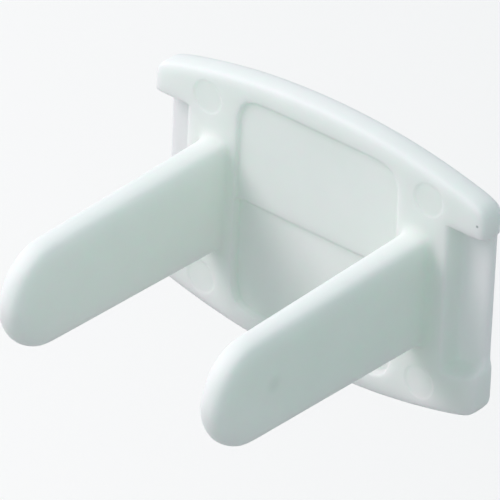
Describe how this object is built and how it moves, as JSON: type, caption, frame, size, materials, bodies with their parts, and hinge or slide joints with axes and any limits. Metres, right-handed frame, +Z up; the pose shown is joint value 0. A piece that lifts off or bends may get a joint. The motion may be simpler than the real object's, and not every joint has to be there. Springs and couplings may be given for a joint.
{
  "type": "outlet safety cover",
  "caption": "Moulded plastic cap that fills a two-flat-blade socket: arched plate with finger notches at its ends, parallel round-tipped blades and a shallow recess between them.",
  "frame": {"origin": "middle of the seating face, halfway between the two blades", "axes": "+Y along the blades, away from the plate; X along the plate's length; Z up, along the blades' height"},
  "size_m": [0.0208, 0.0168, 0.0146],
  "materials": {
    "plastic": "satin, slightly translucent white polypropylene"
  },
  "bodies": {
    "root": {"outlet_cover": "plastic"}
  },
  "joints": []
}
